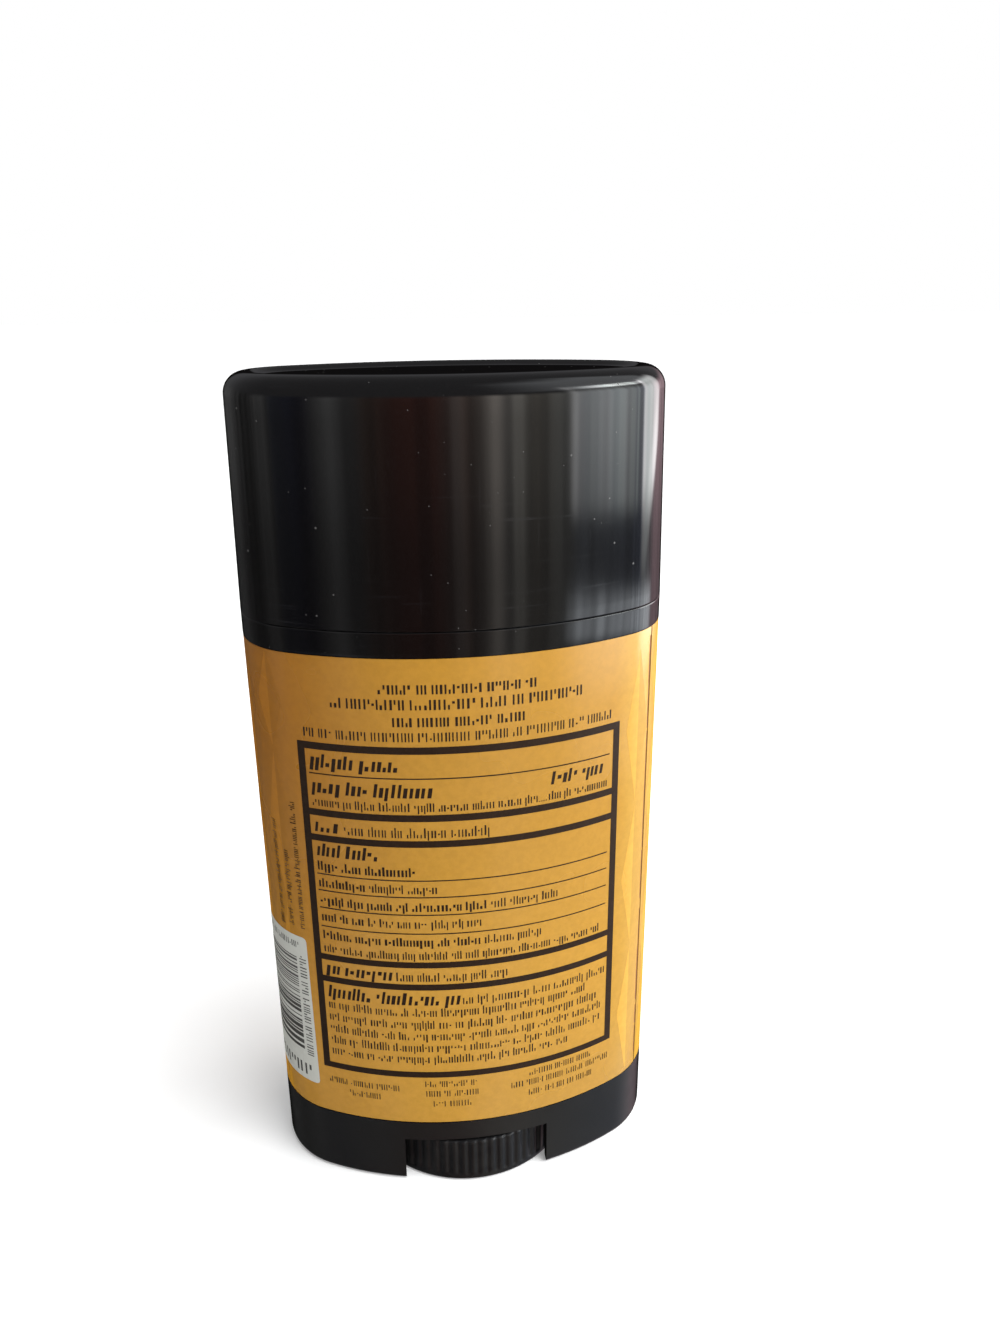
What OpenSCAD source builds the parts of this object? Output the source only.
// Oval twist-up deodorant stick: a pull-off cap, a printed wrap label on an oval
// barrel, and a thumbwheel whose screw raises the platform that carries the stick.
// Millimetres. +Z is up, the printed back panel faces -Y, and the origin is the
// centre of the base, on the surface that the stick stands on.

/* [Pack] */
// Height of the closed pack
pack_h = 127; // [124:0.5:130]
// Height of the barrel's shoulder, where the cap's edge sits
shoulder_z = 94.2; // [92:0.1:96]
// Height of the neck's rim, under the cap
rim_z = 107; // [104:0.5:110]
// Radius of the rounding round the cap's top
cap_round = 3.0; // [2:0.1:4]
// How far each cap wall leans in over its height
cap_draft = 0.5; // [0:0.1:0.8]

/* [Walls] */
// Thickness of the barrel's wall
barrel_wall = 2.2; // [2.1:0.05:2.6]
// How far the neck steps in from the barrel's face
neck_step = 1.3; // [1.25:0.05:1.5]
// Thickness of the cap's wall at its edge
cap_wall = 1.0; // [0.9:0.05:1]
// Thickness of the skirt's wall round the thumbwheel
skirt_wall = 1.8; // [1.6:0.1:1.9]

/* [Label] */
// Bottom edge of the wrap label
label_z0 = 11.8; // [10.5:0.1:14]
// Top edge of the wrap label
label_z1 = 90.6; // [86:0.1:91.5]
// Thickness of the label film, and depth of its recess
label_t = 0.12; // [0.08:0.01:0.2]
// Width of the gap between the label's two ends
label_gap = 0.3; // [0.2:0.05:0.6]
// Direction of that gap from the right end arc's centre, in degrees
label_gap_dir = -38; // [-45:0.5:-10]

/* [Thumbwheel] */
// Radius over the thumbwheel's ribs
wheel_r = 18.0; // [17.6:0.05:18.1]
// Depth of the grooves between the ribs
rib_depth = 0.25; // [0.25:0.05:0.35]
// Number of ribs round the wheel
rib_count = 72; // [48:2:72]
// Lowest point of the wheel above the standing surface
wheel_z0 = 0.1; // [0.1:0.1:1]
// Top face of the wheel
wheel_z1 = 7.9; // [7:0.1:7.9]
// Underside of the barrel's floor, and top of the two thumb notches
floor_z = 8.3; // [8.3:0.1:9]
// Thickness of the barrel's floor
floor_t = 1.6; // [1.2:0.1:2]
// Half the width of each thumb notch
notch_half = 11.6; // [11.5:0.1:13]

/* [Screw and platform] */
// Radius of the screw's thread crest
screw_r = 3.3; // [3:0.1:3.3]
// Height of the screw's tip
screw_z = 86; // [82:0.5:88]
// Radius of the journal that turns in the floor
journal_r = 6.0; // [5.5:0.1:6.5]
// Running clearance of the journal and of the screw in the platform's hub
run_gap = 0.08; // [0.05:0.01:0.1]
// Lowest point of the platform when it is wound down
lift_z0 = 13; // [13:0.1:14]
// Top of the platform's plate when it is wound down
lift_z1 = 38; // [34:0.5:40]
// Gap between the platform and the bore
lift_gap = 0.3; // [0.25:0.05:0.4]
// Height of the stick that is left on the platform, with its crown
stick_h = 22; // [14:0.5:22]
// Height of the stick's rounded crown
crown_h = 5; // [3:0.5:6]

/* [Hidden] */
$fn = 96;

// The plan is a four-centre oval, 62 wide and 35 deep. Two arcs of end_r turn about
// (+-end_x, 0) and two arcs of side_r about (0, +-side_y). Where they meet, the
// normal runs along (8, 15), so every centre and cut plane is a whole decimal.
end_r = 13;
end_x = 18;
side_r = 51.25;
side_y = 33.75;

function rounding(i, z, r, a0, a1, n) =
    [for (k = [0 : n]) let (a = a0 + (a1 - a0) * k / n) [i - r * cos(a), z + r * sin(a)]];

// Turns an edge line, given as [inset from the nominal oval, height] from bottom to
// top, about one arc's centre. `deep` is the inset at which the solid is closed.
module turned(edge, radius, deep) {
    pts = concat([for (p = edge) [radius - p[0], p[1]]],
                 [[radius - deep, edge[len(edge) - 1][1]], [radius - deep, edge[0][1]]]);
    rotate_extrude() polygon(pts);
}

// The quarter of the oval that faces -Y, and the one that faces +X.
module side_tile(edge) {
    z0 = edge[0][1] - 1;
    z1 = edge[len(edge) - 1][1] + 1;
    intersection() {
        translate([0, 0, z0]) linear_extrude(height = z1 - z0)
            polygon([[-18, 0], [-42, -45], [42, -45], [18, 0]]);
        translate([0, side_y, 0]) rotate([0, 0, 90]) turned(edge, side_r, 18);
    }
}

module end_tile(edge) {
    z0 = edge[0][1] - 1;
    z1 = edge[len(edge) - 1][1] + 1;
    intersection() {
        translate([0, 0, z0]) linear_extrude(height = z1 - z0)
            polygon([[18, 0], [42, -45], [42, 45]]);
        translate([end_x, 0, 0]) rotate([0, 0, 180]) turned(edge, end_r, end_r);
    }
}

// A solid oval body with the given edge line.
module oval(edge) {
    side_tile(edge);
    mirror([0, 1, 0]) side_tile(edge);
    end_tile(edge);
    mirror([1, 0, 0]) end_tile(edge);
}

module oval_prism(inset, z0, z1) {
    oval([[inset, z0], [inset, z1]]);
}

// ---- cap: a drafted oval cup with a rolled rim round a shallow dished top ----
cap_top_i = cap_draft + cap_round;
cap_in_z = pack_h - 2.0;
dish = 0.7;

module cap() {
    color([0.05, 0.05, 0.055]) difference() {
        oval(concat(
            [[0.25, shoulder_z], [0, shoulder_z + 0.3]],
            rounding(cap_top_i, pack_h - cap_round, cap_round, 0, 90, 8)));
        // dished top panel, with a sloping edge
        oval([[cap_top_i + 1.8, pack_h - dish], [cap_top_i + 1.1, pack_h - 0.3], [cap_top_i + 0.5, pack_h], [cap_top_i + 0.5, pack_h + 1]]);
        // hollow, with a groove that takes the neck's snap bead
        oval(concat(
            [[cap_wall, shoulder_z - 1], [cap_wall, 96.6], [cap_wall - 0.2, 96.9], [cap_wall - 0.2, 98.1],
             [cap_wall, 98.4], [cap_wall, rim_z + 1]],
            rounding(cap_wall + 0.5 + 2, cap_in_z - 2, 2, 0, 90, 5)));
    }
}

// ---- barrel: one moulding, with neck, floor, skirt and thumb notches ----
module barrel() {
    color([0.055, 0.055, 0.06]) difference() {
        oval([
            [0.8, 0], [0.45, 0.1], [0.15, 0.4], [0, 0.9],
            [0, label_z0], [label_t, label_z0], [label_t, label_z1], [0, label_z1],
            [0, shoulder_z - 0.3], [0.25, shoulder_z],
            [neck_step, shoulder_z],
            [neck_step, 96.9], [neck_step - 0.15, 97.2], [neck_step - 0.15, 97.8], [neck_step, 98.1],
            [neck_step, rim_z - 0.5], [neck_step + 0.15, rim_z - 0.15], [neck_step + 0.4, rim_z]]);
        // bore, from the floor to the rim
        oval([[barrel_wall, floor_z + floor_t], [barrel_wall, rim_z - 0.3], [barrel_wall - 0.2, rim_z], [barrel_wall - 0.2, rim_z + 1]]);
        // space for the thumbwheel
        oval_prism(skirt_wall, -1, floor_z);
        // thumb notches, front and back
        translate([-notch_half, -25, -1]) cube([2 * notch_half, 50, floor_z + 1]);
        // journal hole
        translate([0, 0, floor_z - 1]) cylinder(h = floor_t + 2, r = journal_r + run_gap);
    }
}

// ---- wrap label: one film, laid in the barrel's recess, with its ends nearly meeting ----
module label() {
    color([0.85, 0.62, 0.36]) difference() {
        oval_prism(0, label_z0 + 0.1, label_z1 - 0.1);
        oval_prism(label_t, label_z0 - 1, label_z1 + 1);
        translate([end_x, 0, 0]) rotate([0, 0, label_gap_dir])
            translate([end_r - 3, -label_gap / 2, label_z0 - 1]) cube([6, label_gap, label_z1 - label_z0 + 2]);
    }
}

// ---- thumbwheel and screw: one moulding, snapped up through the barrel's floor ----
module wheel_outline() {
    step = 360 / rib_count;
    root = wheel_r - rib_depth;
    polygon([for (i = [0 : rib_count - 1]) for (q = [[0.00, root], [0.22, root], [0.38, wheel_r], [0.84, wheel_r]])
        [q[1] * cos(step * (i + q[0])), q[1] * sin(step * (i + q[0]))]]);
}

module dial_screw() {
    floor_top = floor_z + floor_t;
    color([0.06, 0.06, 0.065]) {
        difference() {
            intersection() {
                translate([0, 0, wheel_z0]) linear_extrude(height = wheel_z1 - wheel_z0) wheel_outline();
                rotate_extrude() polygon([
                    [0, wheel_z0], [wheel_r - 0.2, wheel_z0], [wheel_r + 0.1, wheel_z0 + 0.3],
                    [wheel_r + 0.1, wheel_z1 - 0.5], [wheel_r - 0.4, wheel_z1], [0, wheel_z1]]);
            }
            // moulded hollow under the wheel
            translate([0, 0, wheel_z0 - 1]) difference() {
                cylinder(h = wheel_z1 - wheel_z0 - 0.6, r = wheel_r - 1.8);
                cylinder(h = wheel_z1 - wheel_z0, r = 5.2);
                for (a = [0 : 45 : 315]) rotate([0, 0, a])
                    translate([4, -0.6, 1.9]) cube([wheel_r - 4, 1.2, wheel_z1]);
            }
            // core hole up the hub
            translate([0, 0, wheel_z0 - 1]) cylinder(h = wheel_z1 - wheel_z0, r = 2.6);
        }
        // journal, snap ring above the floor, and the screw's core and crest
        translate([0, 0, wheel_z1 - 0.5]) cylinder(h = floor_top + 0.3 - wheel_z1 + 0.5, r = journal_r);
        translate([0, 0, floor_top + 0.05]) rotate_extrude()
            polygon([[0, 0], [journal_r + 0.5, 0], [journal_r + 0.5, 0.5], [journal_r - 0.9, 1.8], [0, 1.8]]);
        translate([0, 0, floor_top + 1]) cylinder(h = screw_z - floor_top - 1.8, r = screw_r);
        translate([0, 0, screw_z - 0.8]) cylinder(h = 0.8, r1 = screw_r, r2 = screw_r - 0.6);
    }
}

// ---- platform: plate on a deep skirt, with a threaded hub and vanes that grip the stick ----
hub_r = 5.6;

module anchors() {
    for (a = [0, 180]) rotate([0, 0, a]) {
        translate([hub_r + 1.5, -0.6, lift_z1 - 0.5]) cube([14, 1.2, 3.5]);
        translate([hub_r + 6, -7, lift_z1 - 0.5]) cube([1.2, 14, 3.5]);
    }
}

module elevator() {
    inset = barrel_wall + lift_gap;
    color([0.86, 0.86, 0.84]) difference() {
        union() {
            difference() {
                oval([[inset, lift_z0], [inset, lift_z1 - 0.3], [inset + 0.3, lift_z1]]);
                oval_prism(inset + 1.1, lift_z0 - 1, lift_z1 - 1.4);
            }
            translate([0, 0, lift_z0]) cylinder(h = lift_z1 - lift_z0, r = hub_r);
            // webs between the hub and the skirt
            for (a = [0, 180]) rotate([0, 0, a])
                translate([hub_r - 0.6, -0.5, lift_z0 + 4]) cube([22.8, 1, lift_z1 - lift_z0 - 5]);
            for (a = [90, 270]) rotate([0, 0, a])
                translate([hub_r - 0.6, -0.5, lift_z0 + 4]) cube([9, 1, lift_z1 - lift_z0 - 5]);
            anchors();
        }
        translate([0, 0, lift_z0 - 1]) cylinder(h = lift_z1 - lift_z0 + 6, r = screw_r + run_gap);
    }
}

// ---- the stick itself: what is left of the solid deodorant, cast round the screw ----
module product() {
    inset = barrel_wall + lift_gap;
    top = lift_z1 + stick_h;
    color([0.93, 0.93, 0.90]) difference() {
        oval([[inset + 0.3, lift_z1], [inset, lift_z1 + 0.3], [inset, top - crown_h],
              [inset + 0.5, top - crown_h * 0.76], [inset + 1.5, top - crown_h * 0.54], [inset + 3.2, top - crown_h * 0.33],
              [inset + 5.6, top - crown_h * 0.15], [inset + 8, top - crown_h * 0.04], [inset + 9.6, top]]);
        anchors();
        translate([0, 0, lift_z1 - 1]) cylinder(h = stick_h + 2, r = screw_r + 0.3);
    }
}

cap();
barrel();
label();
dial_screw();
elevator();
product();
